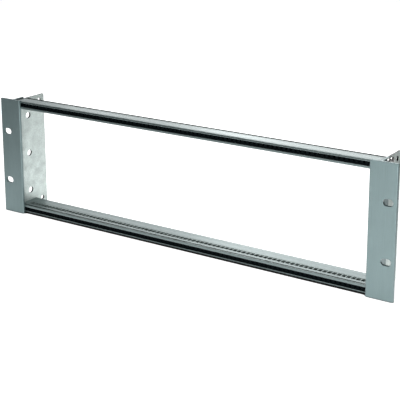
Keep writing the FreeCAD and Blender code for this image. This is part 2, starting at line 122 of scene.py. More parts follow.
class SubrackEdges(PropertyGroup):
    flange_edge: length_property(
        "Flange edge", "Rounding of the edges of the extruded flanges", 0.4 * MM)
    plate_edge: length_property(
        "Plate edge", "Broken edges of the side plates", 0.15 * MM)
    rail_edge: length_property(
        "Rail edge", "Rounding of the long edges of the rails", 0.18 * MM)
    mouth_edge: length_property(
        "Mouth edge", "Rounding of the inner lip of the rails' front groove", 0.8 * MM)
    cover_edge: length_property(
        "Cover edge", "Broken edge in front of the groove in the rails' outer face", 0.5 * MM)
    rounding_steps: IntProperty(
        name="Rounding steps", description="Faces across a rounded edge",
        default=2, min=1, max=8)
    sharpest_kept: FloatProperty(
        name="Kept angle", description="Edges that turn less than this stay as they are",
        default=math.radians(50), subtype="ANGLE", unit="ROTATION")


class SubrackStrips(PropertyGroup):
    card_pitch: length_property(
        "Card pitch", "Distance between two threads", 5.08 * MM)
    card_count: IntProperty(
        name="Card count", description="Threads in a strip", default=84, min=1)
    thread_diameter: length_property(
        "Thread diameter", "Inner width of a thread", 2.1 * MM)
    mouth_diameter: length_property(
        "Mouth diameter", "Width of the countersink of a thread", 2.9 * MM)
    mouth_depth: length_property(
        "Mouth depth", "Depth of the countersink of a thread", 0.4 * MM)
    set_screw_diameter: length_property(
        "Set screw diameter", "Hole of a set screw, past the last thread", 2.5 * MM)
    thread_sides: IntProperty(
        name="Thread sides", description="Sides of a thread's hole",
        default=14, min=6, max=48)
    edge: length_property(
        "Strip edge", "Broken edges of a strip", 0.15 * MM)


class SubrackScrews(PropertyGroup):
    head_diameter: length_property(
        "Head diameter", "Width of a rail screw's head", RAIL_SCREW_HIGH.y - RAIL_SCREW_LOW.y)
    head_height: length_property(
        "Head height", "Height of a rail screw's head", 2.6 * MM)
    shank_diameter: length_property(
        "Shank diameter", "Outer width of the thread", 4.0 * MM)
    thread_pitch: length_property(
        "Thread pitch", "Distance between two turns of the thread", 0.7 * MM)
    recess_width: length_property(
        "Recess width", "Cross recess, over both arms", 4.2 * MM)
    recess_depth: length_property(
        "Recess depth", "Cross recess, from the top of the head", 1.5 * MM)
    head_sides: IntProperty(
        name="Head sides", description="Sides of a screw head", default=40, min=12, max=96)
    sunk_head_height: length_property(
        "Sunk head height", "Height of a countersunk head", 1.9 * MM)
    sunk_rim: length_property(
        "Sunk head rim", "Upright rim of a countersunk head", 0.2 * MM)


class SubrackStudio(PropertyGroup):
    floor_colour: colour_property(
        "Floor", "Colour of the floor and the background", (0.75, 0.75, 0.75))
    key_power: FloatProperty(
        name="Key power", description="Power of the low soft box in front",
        default=5.0, min=0.0, unit="POWER")
    top_power: FloatProperty(
        name="Top power", description="Power of the soft box overhead",
        default=10.1, min=0.0, unit="POWER")
    back_power: FloatProperty(
        name="Back power", description="Power of the row behind, which the upper faces mirror",
        default=5.4, min=0.0, unit="POWER")
    world_strength: FloatProperty(
        name="Surround", description="Strength of the even light all round",
        default=0.06, min=0.0)
    white_reach: FloatVectorProperty(
        name="White reach",
        description="How far round the object metal mirrors a white floor, full and none",
        default=(0.15, 0.65), size=2, unit="LENGTH")
    contact: length_property(
        "Contact shade", "How close the object has to be to darken the floor", 4 * MM)
    lens: FloatProperty(
        name="Lens", description="Focal length of the camera on a 36 mm wide sensor",
        default=95.7, min=1.0, subtype="DISTANCE_CAMERA", unit="CAMERA")
    camera_place: FloatVectorProperty(
        name="Camera place", description="Where the camera stands",
        default=(0.5969, -0.8510, 0.3338), subtype="TRANSLATION", unit="LENGTH")
    camera_yaw: FloatProperty(
        name="Camera yaw", description="Turn of the camera to the left of straight ahead",
        default=math.radians(33.26), subtype="ANGLE", unit="ROTATION")
    camera_pitch: FloatProperty(
        name="Camera pitch", description="Tilt of the camera below the horizon",
        default=math.radians(13.2), subtype="ANGLE", unit="ROTATION")
    shift_across: FloatProperty(
        name="Shift across", description="Sideways shift of the lens", default=-0.0196)
    shift_up: FloatProperty(
        name="Shift up", description="Upright shift of the lens", default=-0.24)


def new_group(name, inputs, outputs):
    """A node group with its named sockets, and its first and last node."""
    group = bpy.data.node_groups.new(name, "ShaderNodeTree")
    for label, kind, default in inputs:
        socket = group.interface.new_socket(label, in_out="INPUT", socket_type=kind)
        socket.default_value = default
    for label, kind in outputs:
        group.interface.new_socket(label, in_out="OUTPUT", socket_type=kind)
    return group, group.nodes.new("NodeGroupInput"), group.nodes.new("NodeGroupOutput")


def calculate(tree, operation, *values):
    """The result of one sum, from outputs and plain numbers."""
    node = tree.nodes.new("ShaderNodeMath")
    node.operation = operation
    for socket, value in zip(node.inputs, values):
        if isinstance(value, bpy.types.NodeSocket):
            tree.links.new(value, socket)
        else:
            socket.default_value = value
    return node.outputs[0]


def add_noise(group, place, scale, detail, levels, leave):
    """Lead a noise to a group's output, spread so that two of its levels become 0 and 1."""
    noise = group.nodes.new("ShaderNodeTexNoise")
    noise.inputs["Detail"].default_value = detail
    group.links.new(place, noise.inputs["Vector"])
    if isinstance(scale, bpy.types.NodeSocket):
        group.links.new(scale, noise.inputs["Scale"])
    else:
        noise.inputs["Scale"].default_value = scale
    spread = group.nodes.new("ShaderNodeMapRange")
    spread.inputs["From Min"].default_value, spread.inputs["From Max"].default_value = levels
    group.links.new(noise.outputs[0], spread.inputs["Value"])
    group.links.new(spread.outputs[0], leave)


def drawn_lines_group():
    """Fine lines that a die or a roller leaves along the metal, and their broad bands."""
    name = "Drawn lines"
    if name in bpy.data.node_groups:
        return bpy.data.node_groups[name]
    group, entry, leave = new_group(
        name,
        [("Place", "NodeSocketVector", (0.0, 0.0, 0.0)),
         ("Density", "NodeSocketVector", (1.0, 1.0, 1.0))],
        [("Lines", "NodeSocketFloat"), ("Bands", "NodeSocketFloat")])
    stretch = group.nodes.new("ShaderNodeVectorMath")
    stretch.operation = "MULTIPLY"
    group.links.new(entry.outputs["Place"], stretch.inputs[0])
    group.links.new(entry.outputs["Density"], stretch.inputs[1])
    add_noise(group, stretch.outputs[0], scale=1.0, detail=4.0, levels=(0.3, 0.7),
              leave=leave.inputs["Lines"])
    add_noise(group, stretch.outputs[0], scale=0.11, detail=2.0, levels=(0.35, 0.65),
              leave=leave.inputs["Bands"])
    return group


def mottle_group():
    """Soft clouds and small specks, as a chemical finish leaves them on sheet metal."""
    name = "Mottle"
    if name in bpy.data.node_groups:
        return bpy.data.node_groups[name]
    group, entry, leave = new_group(
        name,
        [("Place", "NodeSocketVector", (0.0, 0.0, 0.0)),
         ("Cloud Scale", "NodeSocketFloat", 90.0),
         ("Speck Scale", "NodeSocketFloat", 900.0)],
        [("Clouds", "NodeSocketFloat"), ("Specks", "NodeSocketFloat")])
    place = entry.outputs["Place"]
    add_noise(group, place, scale=entry.outputs["Cloud Scale"], detail=6.0, levels=(0.32, 0.68),
              leave=leave.inputs["Clouds"])
    add_noise(group, place, scale=entry.outputs["Speck Scale"], detail=2.0, levels=(0.35, 0.72),
              leave=leave.inputs["Specks"])
    return group


def recess_group():
    """1 inside a long recess of a rail and 0 elsewhere. It lies between two depths, and between two
    heights above or below the frame's middle."""
    name = "Recess"
    if name in bpy.data.node_groups:
        return bpy.data.node_groups[name]
    group, entry, leave = new_group(
        name,
        [("Place", "NodeSocketVector", (0.0, 0.0, 0.0)),
         ("Front", "NodeSocketFloat", 0.0), ("Back", "NodeSocketFloat", 1.0),
         ("Low", "NodeSocketFloat", 0.0), ("High", "NodeSocketFloat", 1.0)],
        [("Recess", "NodeSocketFloat")])
    parts = group.nodes.new("ShaderNodeSeparateXYZ")
    group.links.new(entry.outputs["Place"], parts.inputs[0])
    depth = parts.outputs["Y"]
    height = calculate(group, "ABSOLUTE", parts.outputs["Z"])
    inside = calculate(group, "GREATER_THAN", depth, entry.outputs["Front"])
    for operation, value, limit in (
            ("LESS_THAN", depth, "Back"),
            ("GREATER_THAN", height, "Low"),
            ("LESS_THAN", height, "High")):
        test = calculate(group, operation, value, entry.outputs[limit])
        inside = calculate(group, "MULTIPLY", inside, test)
    group.links.new(inside, leave.inputs["Recess"])
    return group


def new_material(name):
    """A material with its shader node, and the object coordinates to paint by."""
    material = bpy.data.materials.new(name)
    material.use_nodes = True
    tree = material.node_tree
    shader = tree.nodes["Principled BSDF"]
    place = tree.nodes.new("ShaderNodeTexCoord")
    return material, tree, shader, place.outputs["Object"]


def add_group(tree, group, place, **values):
    """Put a shared group in a material, fed with the place and with its own values."""
    node = tree.nodes.new("ShaderNodeGroup")
    node.node_tree = group
    tree.links.new(place, node.inputs["Place"])
    for label, value in values.items():
        node.inputs[label.replace("_", " ")].default_value = value
    return node


def blend_colours(tree, factor, first, second):
    """A colour between two others, each a plain colour or an output, as a mask says."""
    mix = tree.nodes.new("ShaderNodeMix")
    mix.data_type = "RGBA"
    tree.links.new(factor, mix.inputs["Factor"])
    for socket, colour in ((mix.inputs[6], first), (mix.inputs[7], second)):
        if isinstance(colour, bpy.types.NodeSocket):
            tree.links.new(colour, socket)
        else:
            socket.default_value = (*colour, 1.0)
    return mix.outputs[2]


def blend_values(tree, factor, low, high):
    """Spread a mask that goes from 0 to 1 between two values."""
    spread = tree.nodes.new("ShaderNodeMapRange")
    spread.inputs["To Min"].default_value = low
    spread.inputs["To Max"].default_value = high
    tree.links.new(factor, spread.inputs["Value"])
    return spread.outputs[0]


def add_bump(tree, shader, height, strength, distance):
    """Let a mask raise the surface a little."""
    bump = tree.nodes.new("ShaderNodeBump")
    bump.inputs["Strength"].default_value = strength
    bump.inputs["Distance"].default_value = distance
    tree.links.new(height, bump.inputs["Height"])
    tree.links.new(bump.outputs["Normal"], shader.inputs["Normal"])


def shade(colour, factor):
    """A lighter or darker colour of the same hue."""
    return tuple(min(1.0, part * factor) for part in colour)


# Drawn lines to a metre along X, Y and Z: upright ones on the flanges. On the rails they run along
# X, and their spacing across is a setting.
FLANGE_LINES = (2200.0, 2200.0, 45.0)
RAIL_LINES_ALONG = 12.0
# How far below a plate's faces the painted shade in its punched holes and on its cut edges begins.
HOLE_SHADE_START = 0.05 * MM


def flange_material(finishes):
    """Satin anodised extrusion with upright drawn lines."""
    material, tree, shader, place = new_material("Flange, satin anodised")
    colour = tuple(finishes.flange_colour)
    lines = add_group(tree, drawn_lines_group(), place, Density=FLANGE_LINES)
    grain = blend_colours(tree, lines.outputs["Lines"], shade(colour, 0.93), shade(colour, 1.07))
    clouds = add_group(tree, mottle_group(), place, Cloud_Scale=55.0, Speck_Scale=1400.0)
    dull = blend_values(tree, clouds.outputs["Clouds"], low=0.0, high=0.5)
    painted = blend_colours(tree, dull, grain, shade(colour, 0.9))
    tree.links.new(painted, shader.inputs["Base Color"])
    rough = finishes.flange_roughness
    gloss = blend_values(tree, lines.outputs["Bands"], low=rough - 0.04, high=rough + 0.06)
    tree.links.new(gloss, shader.inputs["Roughness"])
    shader.inputs["Metallic"].default_value = 0.6
    add_bump(tree, shader, lines.outputs["Lines"], strength=0.25, distance=0.02 * MM)
    return material


def plate_material(finishes):
    """Passivated sheet with soft clouds and small specks, and painted shade in its holes and on its
    edges.
    """
    material, tree, shader, place = new_material("Plate, passivated")
    colour = tuple(finishes.plate_colour)
    spots = add_group(tree, mottle_group(), place, Cloud_Scale=120.0, Speck_Scale=620.0)
    strength = finishes.plate_mottle
    clouds = blend_values(tree, spots.outputs["Clouds"], low=0.0, high=strength * 2)
    cloudy = blend_colours(tree, clouds, shade(colour, 1.06), shade(colour, 0.78))
    specks = blend_values(tree, spots.outputs["Specks"], low=0.0, high=strength)
    specked = blend_colours(tree, specks, cloudy, shade(colour, 0.55))
    low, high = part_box("left_side_plate")
    parts = tree.nodes.new("ShaderNodeSeparateXYZ")
    tree.links.new(place, parts.inputs[0])
    across = calculate(tree, "ABSOLUTE", parts.outputs["X"])
    middle = -(low.x + high.x) / 2
    # Within the sheet's thickness, on hole walls and cut edges, the colour is painted shade.
    inside = calculate(tree, "COMPARE", across, middle, (high.x - low.x) / 2 - HOLE_SHADE_START)
    painted = blend_colours(tree, inside, specked, tuple(finishes.hole_shade_colour))
    tree.links.new(painted, shader.inputs["Base Color"])
    gloss = blend_values(tree, spots.outputs["Clouds"], low=0.38, high=0.56)
    tree.links.new(gloss, shader.inputs["Roughness"])
    shader.inputs["Metallic"].default_value = 0.5
    add_bump(tree, shader, spots.outputs["Specks"], strength=0.3, distance=0.03 * MM)
    return material


# Painted shade in the insides of the rails' recesses: each gets a dark colour and no metal, so that
# it looks shaded. Each has the depths in mm at which it
# begins and ends, the heights in mm above the frame's middle between which it lies, and the colour
# of its painted shade:
# the front groove, whose shade also reaches onto the rounded edge of its inner lip, the slots'
# chamber, the groove in the outer face and the line in the card face.
RAIL_PAINTED_SHADE = (
    ((3.1, 8.8, 58.3, 64.2), (0.003, 0.006, 0.008)),
    ((9.8, 16.6, 56.43, 59.7), (0.24, 0.29, 0.275)),
    ((18.0, 20.62, 61.0, 65.01), (0.008, 0.010, 0.011)),
    ((4.35, 6.05, 56.43, 57.4), (0.02, 0.025, 0.025)),
)


def rail_material(finishes):
    """Clear anodised extrusion with fine lines along its length, and painted shade in its recesses.
    """
    material, tree, shader, place = new_material("Rail, clear anodised")
    colour = tuple(finishes.rail_colour)
    across = 1.0 / finishes.rail_line_width
    lines = add_group(
        tree, drawn_lines_group(), place, Density=(RAIL_LINES_ALONG, across, across))
    grain = blend_colours(tree, lines.outputs["Lines"], shade(colour, 0.94), shade(colour, 1.04))
    spots = add_group(tree, mottle_group(), place, Cloud_Scale=40.0, Speck_Scale=1100.0)
    dull = blend_values(tree, spots.outputs["Clouds"], low=0.0, high=0.4)
    painted = blend_colours(tree, dull, grain, shade(colour, 0.93))
    polish = blend_values(tree, lines.outputs["Bands"], low=0.56, high=0.64)
    # Paint shade into each recess: its dark colour, and no metal there.
    for (front, back, low, high), dark in RAIL_PAINTED_SHADE:
        inside = add_group(
            tree, recess_group(), place,
            Front=front * MM, Back=back * MM, Low=low * MM, High=high * MM).outputs["Recess"]
        painted = blend_colours(tree, inside, painted, dark)
        outside = blend_values(tree, inside, low=1.0, high=0.0)
        polish = calculate(tree, "MULTIPLY", polish, outside)
    tree.links.new(painted, shader.inputs["Base Color"])
    gloss = blend_values(tree, lines.outputs["Bands"], low=0.36, high=0.46)
    tree.links.new(gloss, shader.inputs["Roughness"])
    tree.links.new(polish, shader.inputs["Metallic"])
    add_bump(tree, shader, lines.outputs["Lines"], strength=0.2, distance=0.02 * MM)
    return material


def strip_material(finishes):
    """Black phosphated steel, dull and slightly grainy, made darker than that finish alone as
    painted shade deep in the rails' grooves.
    """
    material, tree, shader, place = new_material("Strip, black steel")
    colour = tuple(finishes.strip_colour_and_shade)
    spots = add_group(tree, mottle_group(), place, Cloud_Scale=160.0, Speck_Scale=2400.0)
    painted = blend_colours(tree, spots.outputs["Specks"], shade(colour, 0.7), shade(colour, 1.8))
    tree.links.new(painted, shader.inputs["Base Color"])
    gloss = blend_values(tree, spots.outputs["Clouds"], low=0.5, high=0.72)
    tree.links.new(gloss, shader.inputs["Roughness"])
    shader.inputs["Specular IOR Level"].default_value = 0.04
    add_bump(tree, shader, spots.outputs["Specks"], strength=0.35, distance=0.02 * MM)
    return material


def screw_material(finishes):
    """Zinc plated steel with faint clouds and specks."""
    material, tree, shader, place = new_material("Screw, zinc plated")
    colour = tuple(finishes.screw_colour)
    spots = add_group(tree, mottle_group(), place, Cloud_Scale=320.0, Speck_Scale=3000.0)
    painted = blend_colours(tree, spots.outputs["Clouds"], shade(colour, 0.85), shade(colour, 1.08))
    tree.links.new(painted, shader.inputs["Base Color"])
    gloss = blend_values(tree, spots.outputs["Clouds"], low=0.22, high=0.36)
    tree.links.new(gloss, shader.inputs["Roughness"])
    shader.inputs["Metallic"].default_value = 1.0
    add_bump(tree, shader, spots.outputs["Specks"], strength=0.15, distance=0.01 * MM)
    return material


def dress(names, material):
    """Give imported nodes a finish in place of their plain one."""
    for name in names:
        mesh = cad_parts[name].data
        if not mesh.materials:
            mesh.materials.append(material)
        for index in range(len(mesh.materials)):
            mesh.materials[index] = material


def give(piece, material):
    """Make one material the only one of a modelled piece."""
    piece.data.materials.clear()
    piece.data.materials.append(material)


def deselect_all():
    """Leave edit mode and select nothing, as before adding a piece by hand."""
    if bpy.context.mode != "OBJECT":
        bpy.ops.object.mode_set(mode="OBJECT")
    bpy.ops.object.select_all(action="DESELECT")


def select_only(*objects):
    """Select some objects and make the first one active."""
    deselect_all()
    for item in objects:
        item.select_set(True)
    bpy.context.view_layer.objects.active = objects[0]


def pick(kind, keep):
    """In edit mode, select the edges or the faces that a test keeps. Kind is EDGE or FACE."""
    mesh = bmesh.from_edit_mesh(bpy.context.edit_object.data)
    bpy.ops.mesh.select_all(action="DESELECT")
    bpy.ops.mesh.select_mode(type=kind)
    for part in mesh.edges if kind == "EDGE" else mesh.faces:
        if keep(part):
            part.select_set(True)
    mesh.select_flush_mode()
    bmesh.update_edit_mesh(bpy.context.edit_object.data)


def place_copies(piece, name, matrices):
    """Copy a finished piece to several places and join the copies into one piece at the origin."""
    copies = []
    for matrix in matrices:
        copy = piece.copy()
        copy.data = piece.data.copy()
        bpy.context.collection.objects.link(copy)
        copy.data.transform(matrix)
        copies.append(copy)
    select_only(*copies)
    bpy.ops.object.join()
    joined = bpy.context.view_layer.objects.active
    joined.name = name
    joined.data.name = name
    return joined


# Two heights above the frame's middle, between which the inner lip of a rail's front groove ends.
INNER_LIP = (58.5 * MM, 60.0 * MM)
# Depth of the rails' front faces, and of the front wall of the groove in their outer faces.
RAIL_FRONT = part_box("top_rail")[0].y
COVER_GROOVE_FRONT = 18.2 * MM
# An edge this close to one of those depths lies on it.
NEAR_DEPTH = 0.05 * MM
# Longer than any edge of a rail's ends and slots, and shorter than its long edges.
LONG = 100 * MM


def long_edge(edge):
    """True for the edges that run along a rail, and not for those of its ends and slots."""
    first, second = edge.verts
    return abs(first.co.x - second.co.x) > LONG


def mouth_edge(edge):
    """True for the long edge at the front of a rail where the inner lip of its groove ends."""
    low, high = INNER_LIP
    return long_edge(edge) and all(
        abs(end.co.y - RAIL_FRONT) < NEAR_DEPTH and low < abs(end.co.z) < high
        for end in edge.verts)


def cover_edge(edge):
    """True for the long edge in front of the groove along the back of a rail's outer face."""
    return long_edge(edge) and all(
        abs(end.co.y - COVER_GROOVE_FRONT) < NEAR_DEPTH and abs(end.co.z) > INNER_LIP[1]
        for end in edge.verts)


def any_edge(edge):
    """True for each edge."""
    return True


def round_edges(nodes, edges, rounds):
    """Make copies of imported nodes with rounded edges, which stand for the nodes. Each round has a
    width and a test that says which edges get it."""
    for node in nodes:
        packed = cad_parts[node]
        piece = bpy.data.objects.new(node + "_rounded", packed.data.copy())
        piece.data.name = piece.name
        bpy.context.collection.objects.link(piece)
        select_only(piece)
        bpy.ops.mesh.customdata_custom_splitnormals_clear()
        bpy.ops.object.mode_set(mode="EDIT")
        bpy.ops.mesh.select_all(action="SELECT")
        bpy.ops.mesh.remove_doubles(threshold=TOUCH)
        bpy.ops.mesh.dissolve_limited(angle_limit=math.radians(0.5))
        sharp = edges.sharpest_kept
        for width, may_round in rounds:
            pick("EDGE", lambda edge: edge.calc_face_angle(0.0) > sharp and may_round(edge))
            bpy.ops.mesh.bevel(
                offset=width, segments=edges.rounding_steps, affect="EDGES", clamp_overlap=False)
        bpy.ops.mesh.select_all(action="DESELECT")
        bpy.ops.object.mode_set(mode="OBJECT")
        bpy.ops.object.shade_smooth_by_angle(angle=math.radians(40))
        weighted = piece.modifiers.new("Flat faces stay flat", "WEIGHTED_NORMAL")
        weighted.keep_sharp = True
        bpy.ops.object.modifier_apply(modifier=weighted.name)
        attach(piece, "root")
        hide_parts(node)


def combine(piece, other, operation="DIFFERENCE"):
    """Cut another shape out of a piece, or join it on, and drop the other. Raises where no face of
    the piece is left."""
    change = piece.modifiers.new("Combine", "BOOLEAN")
    change.operation = operation
    change.solver = "EXACT"
    change.object = other
    select_only(piece)
    bpy.ops.object.modifier_apply(modifier=change.name)
    bpy.data.objects.remove(other, do_unlink=True)
    select_only(piece)
    if not piece.data.polygons:
        raise RuntimeError(f"no face of {piece.name} is left")


# How far a cutter reaches past the face that it opens.
PAST_FACE = 0.3 * MM


def build_thread_cutter(sizes, low, high):
    """All the threads of a strip as one row of closed shapes, flared at both faces."""
    middle = (low.z + high.z) / 2
    first = -(sizes.card_count - 1) * sizes.card_pitch / 2
    straight = high.y - low.y - 2 * sizes.mouth_depth
    deselect_all()
    bpy.ops.mesh.primitive_cylinder_add(
        vertices=sizes.thread_sides, radius=sizes.thread_diameter / 2, depth=straight,
        location=(first, (low.y + high.y) / 2, middle), rotation=(math.radians(90), 0.0, 0.0))
    cutter = bpy.context.object
    bpy.ops.object.transform_apply(location=True, rotation=True, scale=True)
    bpy.ops.object.mode_set(mode="EDIT")
    cone = sizes.mouth_depth + PAST_FACE
    flare = 1.0 + (sizes.mouth_diameter / sizes.thread_diameter - 1.0) * cone / sizes.mouth_depth
    for out in (-1, 1):
        pick("FACE", lambda face: face.normal.y * out > 0.9)
        bpy.ops.mesh.extrude_region_move(TRANSFORM_OT_translate={"value": (0.0, out * cone, 0.0)})
        bpy.ops.transform.resize(value=(flare, 1.0, flare), center_override=(first, 0.0, middle))
    bpy.ops.object.mode_set(mode="OBJECT")
    row = cutter.modifiers.new("Row of threads", "ARRAY")
    row.count = sizes.card_count
    row.use_relative_offset = False
    row.use_constant_offset = True
    row.constant_offset_displace = (sizes.card_pitch, 0.0, 0.0)
    bpy.ops.object.modifier_apply(modifier=row.name)
    return cutter


def build_set_screw_cutter(sizes, low, high, side):
    """The hole of a set screw, half a card past the last thread. It breaks into the last
    countersink, and two cutters that overlap can't be one, so it is cut on its own."""
    place = side * sizes.card_count * sizes.card_pitch / 2
    deselect_all()
    bpy.ops.mesh.primitive_cylinder_add(
        vertices=sizes.thread_sides * 2, radius=sizes.set_screw_diameter / 2,
        depth=high.y - low.y + 2 * PAST_FACE,
        location=(place, (low.y + high.y) / 2, (low.z + high.z) / 2),
        rotation=(math.radians(90), 0.0, 0.0))
    bpy.ops.object.transform_apply(location=True, rotation=True, scale=True)
    return bpy.context.object


def build_strip(sizes, node):
    """A steel bar with broken edges and a countersunk thread for each card."""
    low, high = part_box(node)
    deselect_all()
    bpy.ops.mesh.primitive_cube_add(size=1.0, location=(low + high) / 2)
    bar = bpy.context.object
    bar.scale = high - low
    bpy.ops.object.transform_apply(location=True, rotation=True, scale=True)
    bpy.ops.object.mode_set(mode="EDIT")
    bpy.ops.mesh.select_all(action="SELECT")
    bpy.ops.mesh.bevel(offset=sizes.edge, segments=1, affect="EDGES")
    bpy.ops.object.mode_set(mode="OBJECT")
    combine(bar, build_thread_cutter(sizes, low, high))
    for side in (-1, 1):
        combine(bar, build_set_screw_cutter(sizes, low, high, side))
    bpy.ops.object.shade_smooth_by_angle(angle=math.radians(30))
    bar.name = node + "_drilled"
    bar.data.name = bar.name
    return bar


# Shares of a pan head's height that its dome and the broken edge below it take.
DOME = 0.72
LIP = 0.06
DOME_STEPS = 7
# Depth of a thread, as a share of its pitch.
THREAD_DEPTH = 0.45
# Cross recess: how far the cutter stands out of the head, the width of its arms, and how much
# smaller their ends are, over the arms and across them.
RECESS_PAST = 0.4 * MM
RECESS_ARM = 0.9 * MM
RECESS_TAPER = (0.45, 0.6)


def add_thread(sizes, start, reach, out):
    """Extrude the selected end face as a thread, in coned steps, to +X or -X as out is 1 or -1."""
    shank = sizes.shank_diameter / 2
    root = shank - sizes.thread_pitch * THREAD_DEPTH
    step = sizes.thread_pitch / 2
    for turn in range(int(reach / sizes.thread_pitch)):
        for index, (goal, now) in enumerate(((root, shank), (shank, root))):
            bpy.ops.mesh.extrude_region_move(
                TRANSFORM_OT_translate={"value": (out * step, 0.0, 0.0)})
            middle = start + out * (turn * 2 + index + 1) * step
            bpy.ops.transform.resize(
                value=(1.0, goal / now, goal / now), center_override=(middle, 0.0, 0.0))


def build_cross_cutter(sizes, top):
    """Two crossed wedges, wide at the top of the head and narrow at the bottom of the recess."""
    arms = []
    depth = sizes.recess_depth + RECESS_PAST
    for turn in (0.0, 90.0):
        deselect_all()
        bpy.ops.mesh.primitive_cube_add(size=1.0, location=(0.0, 0.0, 0.0))
        arm = bpy.context.object
        arm.scale = (depth, sizes.recess_width, RECESS_ARM)
        bpy.ops.object.transform_apply(scale=True)
        bpy.ops.object.mode_set(mode="EDIT")
        pick("FACE", lambda face: face.normal.x > 0.9)
        bpy.ops.transform.resize(value=(1.0, *RECESS_TAPER))
        bpy.ops.object.mode_set(mode="OBJECT")
        arm.data.transform(Matrix.Rotation(math.radians(turn), 4, "X"))
        arm.data.transform(Matrix.Translation((top - RECESS_PAST + depth / 2, 0.0, 0.0)))
        arms.append(arm)
    combine(arms[0], arms[1], "UNION")
    return arms[0]


def build_pan_screw(sizes, grip, reach):
    """A pan-head screw along X with the underside of its head at the origin and its head to -X."""
    radius = sizes.head_diameter / 2
    height = sizes.head_height
    deselect_all()
    bpy.ops.mesh.primitive_cylinder_add(
        vertices=sizes.head_sides, radius=radius, depth=height,
        location=(-height / 2, 0.0, 0.0), rotation=(0.0, math.radians(90), 0.0))
    screw = bpy.context.object
    bpy.ops.object.transform_apply(location=True, rotation=True, scale=True)
    bpy.ops.object.mode_set(mode="EDIT")
    for level, width, steps in ((-height, height * DOME, DOME_STEPS), (0.0, height * LIP, 2)):
        pick("EDGE", lambda edge: all(abs(end.co.x - level) < TOUCH for end in edge.verts))
        bpy.ops.mesh.bevel(
            offset=width, segments=steps, profile=0.5, affect="EDGES", clamp_overlap=False)
    pick("FACE", lambda face: face.normal.x > 0.99 and abs(face.calc_center_median().x) < TOUCH)
    bpy.ops.mesh.inset(thickness=radius - height * LIP - sizes.shank_diameter / 2, depth=0.0)
    bpy.ops.mesh.extrude_region_move(TRANSFORM_OT_translate={"value": (grip, 0.0, 0.0)})
    add_thread(sizes, grip, reach, 1)
    bpy.ops.object.mode_set(mode="OBJECT")
    combine(screw, build_cross_cutter(sizes, -height))
    bpy.ops.object.shade_smooth_by_angle(angle=math.radians(32))
    return screw


def build_sunk_screw(sizes, radius, length):
    """A countersunk screw along X. Its flat head lies at the origin and its thread goes to -X."""
    rim = sizes.sunk_rim
    deselect_all()
    bpy.ops.mesh.primitive_cylinder_add(
        vertices=sizes.head_sides, radius=radius, depth=rim,
        location=(-rim / 2, 0.0, 0.0), rotation=(0.0, math.radians(90), 0.0))
    screw = bpy.context.object
    bpy.ops.object.transform_apply(location=True, rotation=True, scale=True)
    bpy.ops.object.mode_set(mode="EDIT")
    pick("FACE", lambda face: face.normal.x < -0.9)
    narrow = sizes.shank_diameter / 2 / radius
    neck = -sizes.sunk_head_height
    bpy.ops.mesh.extrude_region_move(TRANSFORM_OT_translate={"value": (neck + rim, 0.0, 0.0)})
    bpy.ops.transform.resize(value=(1.0, narrow, narrow), center_override=(neck, 0.0, 0.0))
    add_thread(sizes, neck, length + neck, -1)
    bpy.ops.object.mode_set(mode="OBJECT")
    cutter = build_cross_cutter(sizes, 0.0)
    cutter.data.transform(Matrix.Rotation(math.radians(180), 4, "Z"))
    combine(screw, cutter)
    bpy.ops.object.shade_smooth_by_angle(angle=math.radians(32))
    return screw


class SUBRACK_OT_flanges(Operator):
    """Satin anodise the two rack flanges"""
    bl_idname = "subrack.flanges"
    bl_label = "Finish rack flanges"

    def execute(self, context):
        nodes = ("left_rack_flange", "right_rack_flange")
        dress(nodes, flange_material(context.scene.subrack_finishes))
        edges = context.scene.subrack_edges
        round_edges(nodes, edges, [(edges.flange_edge, any_edge)])
        return {"FINISHED"}


class SUBRACK_OT_plates(Operator):
    """Passivate the two side plates"""
    bl_idname = "subrack.plates"
    bl_label = "Finish side plates"

    def execute(self, context):
        nodes = ("left_side_plate", "right_side_plate")
        dress(nodes, plate_material(context.scene.subrack_finishes))
        edges = context.scene.subrack_edges
        round_edges(nodes, edges, [(edges.plate_edge, any_edge)])
        return {"FINISHED"}


class SUBRACK_OT_rails(Operator):
    """Clear anodise the two rails"""
    bl_idname = "subrack.rails"
    bl_label = "Finish rails"

    def execute(self, context):
        nodes = ("top_rail", "bottom_rail")
        dress(nodes, rail_material(context.scene.subrack_finishes))
        edges = context.scene.subrack_edges
        round_edges(nodes, edges, [
            (edges.mouth_edge, mouth_edge),
            (edges.cover_edge, cover_edge),
            (edges.rail_edge, long_edge)])
        return {"FINISHED"}


class SUBRACK_OT_strips(Operator):
    """Blacken the threaded strips and their set screws"""
    bl_idname = "subrack.strips"
    bl_label = "Finish threaded strips"

    def execute(self, context):
        material = strip_material(context.scene.subrack_finishes)
        dress(("top_set_screws", "bottom_set_screws"), material)
        for node in ("top_threaded_strip", "bottom_threaded_strip"):
            strip = build_strip(context.scene.subrack_strips, node)
            give(strip, material)
            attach(strip, "root")
            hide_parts(node)
        return {"FINISHED"}


# How the cross recess of the upper and of the lower screw of a pair happens to lie, in degrees.
SUNK_TURNS = (10, 50)
PAN_TURNS = (20, 65)


def add_sunk_screws(sizes, material):
    """The countersunk screws that hold the flanges, two to a side."""
    low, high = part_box("left_flange_screws")
    radius = (high.y - low.y) / 2
    sunk = build_sunk_screw(sizes, radius, high.x - low.x)
    give(sunk, material)
    for side, turn, face in (("left", 0.0, high.x), ("right", 180.0, -high.x)):
        around = Matrix.Rotation(math.radians(turn), 4, "Z")
        spots = []
        for up, degrees in zip((1, -1), SUNK_TURNS):
            quarter = Matrix.Rotation(math.radians(degrees), 4, "X")
            place = (face, (low.y + high.y) / 2, up * (high.z - radius))
            spots.append(Matrix.Translation(place) @ around @ quarter)
        piece = place_copies(sunk, f"{side}_sunk_screws", spots)
        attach(piece, "root")
        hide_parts(f"{side}_flange_screws")
    bpy.data.objects.remove(sunk, do_unlink=True)


